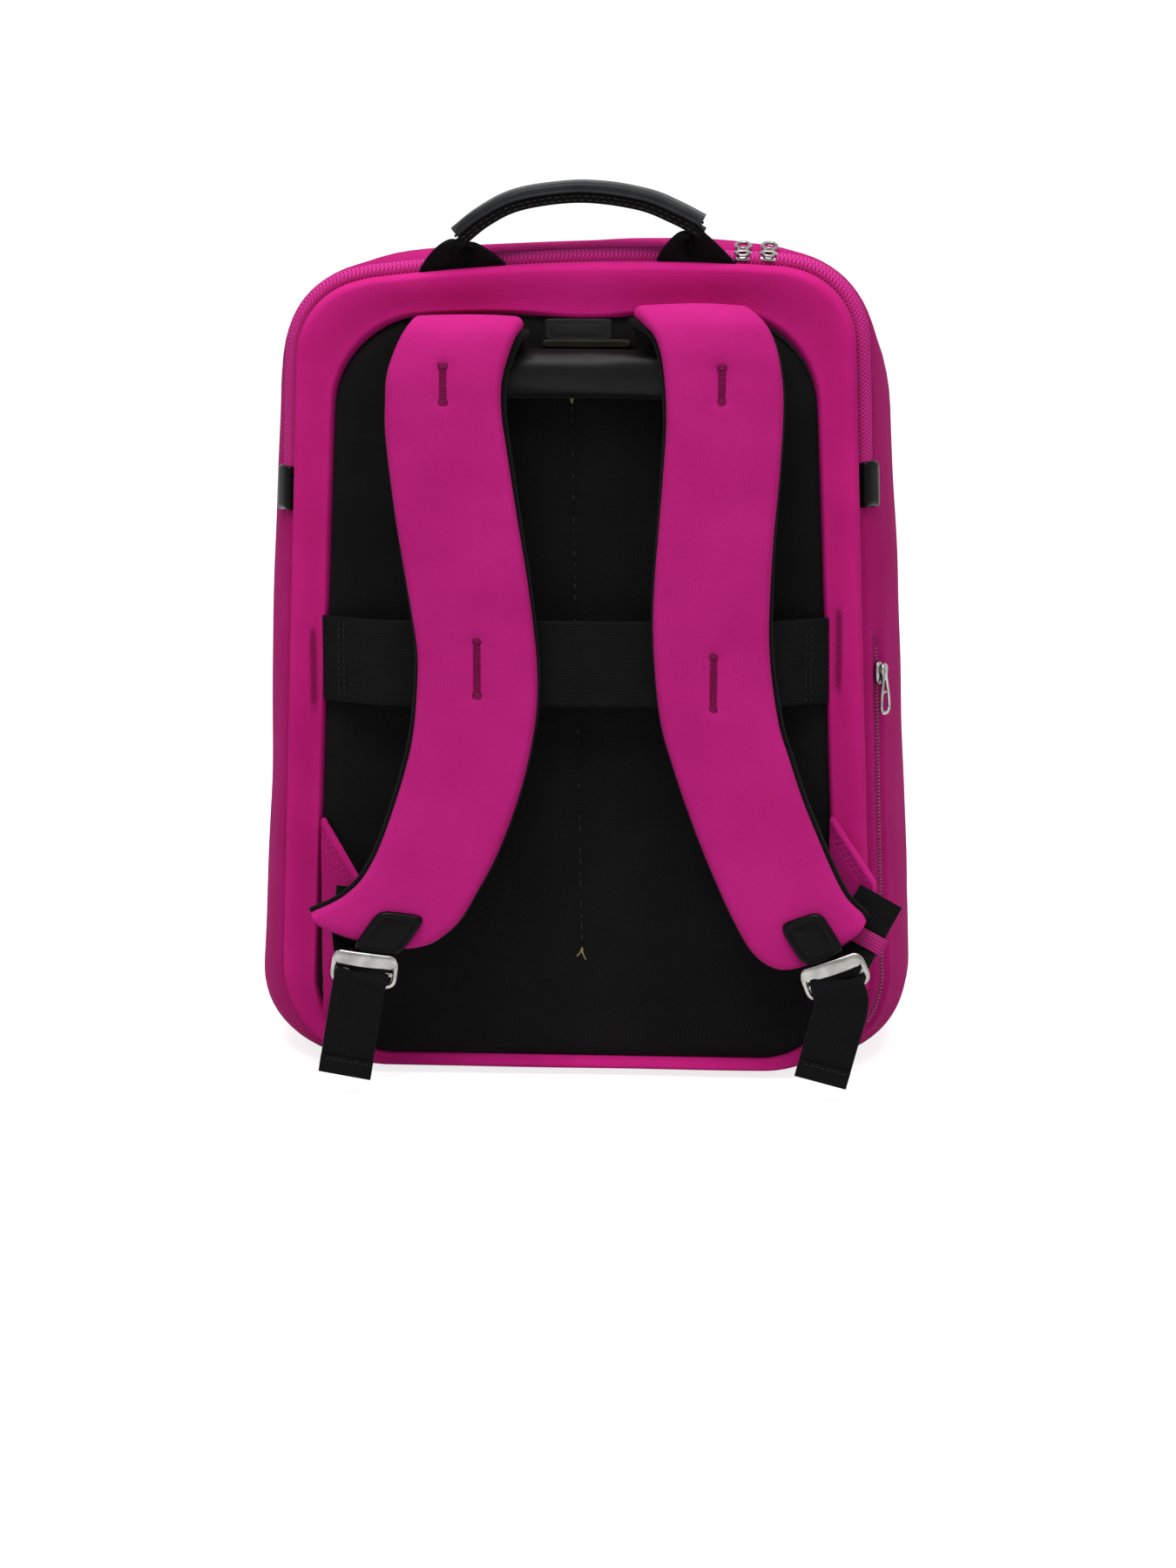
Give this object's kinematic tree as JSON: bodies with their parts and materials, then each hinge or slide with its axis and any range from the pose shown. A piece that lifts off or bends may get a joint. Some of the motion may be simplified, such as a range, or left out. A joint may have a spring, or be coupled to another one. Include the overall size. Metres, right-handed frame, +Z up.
{
  "type": "travel backpack",
  "caption": "Padded travel laptop backpack with a trolley band, carry handle, curved shoulder straps and a top mouth closed by an arched zip.",
  "frame": {"origin": "middle of the flat base, on the surface that the pack stands on", "axes": "+Z up, +X to the right when the padded back is looked at, -Y out of the padded back toward the wearer"},
  "size_m": [0.3178, 0.222, 0.419],
  "materials": {
    "shell_cloth": "dense matte knit over foam, magenta",
    "pad_mesh": "matte black spacer knit over foam",
    "satin": "black satin weave over a soft roll",
    "lining": "smooth grey lining cloth",
    "board": "stiffening sheet",
    "webbing": "ribbed black webbing",
    "elastic": "ribbed magenta elastic",
    "tape": "magenta herringbone zip tape",
    "coil": "nylon coil",
    "leather": "smooth black leather",
    "grip_leather": "grained charcoal leather",
    "patch": "bare woven patch",
    "foam": "closed-cell foam",
    "metal": "polished plated casting"
  },
  "bodies": {
    "shell": {"gusset_lower": "shell_cloth", "front_panel_lower": "shell_cloth", "base_panel": "shell_cloth", "lining_lower": "lining", "base_board": "board", "back_frame": "shell_cloth", "back_pad": "pad_mesh", "back_board": "board", "yoke_roll": "satin", "label_tab": "leather", "label_patch": "patch", "luggage_band": "webbing", "laptop_sleeve": "lining", "organiser_divider": "lining", "main_tape_rear": "tape", "main_coil_rear": "coil", "zip_end_tab_left": "leather", "zip_end_tab_right": "leather", "side_zip_tape": "tape", "side_zip_coil": "coil", "side_pocket_bag": "lining", "front_zip_tape": "tape", "front_zip_coil": "coil", "front_pocket_bag": "lining", "handle_anchor_left": "webbing", "handle_anchor_right": "webbing", "wing_left": "shell_cloth", "wing_right": "shell_cloth", "wing_webbing_left": "webbing", "wing_webbing_right": "webbing", "keeper_left": "elastic", "keeper_right": "elastic"},
    "mouth": {"gusset_top": "shell_cloth", "front_panel_top": "shell_cloth", "lining_top": "lining", "main_tape_front": "tape", "main_coil_front": "coil"},
    "handle": {"handle_webbing": "webbing", "handle_grip": "grip_leather"},
    "strap_left": {"strap_cover_left": "shell_cloth", "strap_foam_left": "foam", "strap_liner_left": "pad_mesh", "strap_tab_left": "leather"},
    "strap_right": {"strap_cover_right": "shell_cloth", "strap_foam_right": "foam", "strap_liner_right": "pad_mesh", "strap_tab_right": "leather"},
    "buckle_left": {"buckle_left": "metal", "tail_left": "webbing"},
    "buckle_right": {"buckle_right": "metal", "tail_right": "webbing"},
    "main_slider_left": {"main_slider_left": "metal"},
    "main_pull_left": {"main_pull_left": "metal"},
    "main_slider_right": {"main_slider_right": "metal"},
    "main_pull_right": {"main_pull_right": "metal"},
    "side_slider": {"side_slider": "metal"},
    "side_pull": {"side_pull": "metal"},
    "front_slider": {"front_slider": "metal"},
    "front_pull": {"front_pull": "metal"}
  },
  "joints": [
    {"name": "mouth_fold", "type": "hinge", "parent": "shell", "child": "mouth", "pos_m": [0, 0.0843, 0.284], "axis": [-1, 0, 0], "range_deg": [0, 32]},
    {"name": "handle_swing", "type": "hinge", "parent": "shell", "child": "handle", "pos_m": [0, -0.081, 0.3856], "axis": [1, 0, 0], "range_deg": [-28, 40]},
    {"name": "strap_swing_left", "type": "hinge", "parent": "shell", "child": "strap_left", "pos_m": [-0.048, -0.0892, 0.358], "axis": [-1, 0, 0], "range_deg": [0, 10]},
    {"name": "strap_swing_right", "type": "hinge", "parent": "shell", "child": "strap_right", "pos_m": [0.055, -0.0892, 0.358], "axis": [-1, 0, 0], "range_deg": [0, 10]},
    {"name": "buckle_turn_left", "type": "hinge", "parent": "strap_left", "child": "buckle_left", "pos_m": [-0.0898, -0.12872, 0.06766], "axis": [-0.8259, -0.0494, 0.5616], "range_deg": [-6, 35]},
    {"name": "buckle_turn_right", "type": "hinge", "parent": "strap_right", "child": "buckle_right", "pos_m": [0.11896, -0.12874, 0.06594], "axis": [-0.8458, 0.0468, -0.5315], "range_deg": [-6, 35]},
    {"name": "main_slide_left", "type": "slide", "parent": "mouth", "child": "main_slider_left", "axis": [-1, 0, 0], "range_m": [0, 0.14]},
    {"name": "main_pull_turn_left", "type": "hinge", "parent": "main_slider_left", "child": "main_pull_left", "pos_m": [0.0764, -0.07886, 0.38348], "axis": [1, 0, 0], "range_deg": [0, 150]},
    {"name": "main_slide_right", "type": "hinge", "parent": "mouth", "child": "main_slider_right", "pos_m": [0.0841, -0.075, 0.33087], "axis": [0, 1, 0], "range_deg": [0, 38]},
    {"name": "main_pull_turn_right", "type": "hinge", "parent": "main_slider_right", "child": "main_pull_right", "pos_m": [0.08804, -0.07886, 0.38334], "axis": [0.9972, 0, -0.075], "range_deg": [0, 150]},
    {"name": "side_slide", "type": "slide", "parent": "shell", "child": "side_slider", "axis": [0.0308, 0, -0.9995], "range_m": [0, 0.14]},
    {"name": "side_pull_turn", "type": "hinge", "parent": "side_slider", "child": "side_pull", "pos_m": [0.14382, -0.0715, 0.19464], "axis": [-0.3857, -0.9225, -0.0119], "range_deg": [0, 90]},
    {"name": "front_slide", "type": "slide", "parent": "shell", "child": "front_slider", "axis": [-1, 0, 0], "range_m": [0, 0.14]},
    {"name": "front_pull_turn", "type": "hinge", "parent": "front_slider", "child": "front_pull", "pos_m": [0.07, 0.0871, 0.24055], "axis": [1, 0, 0], "range_deg": [0, 90]}
  ]
}
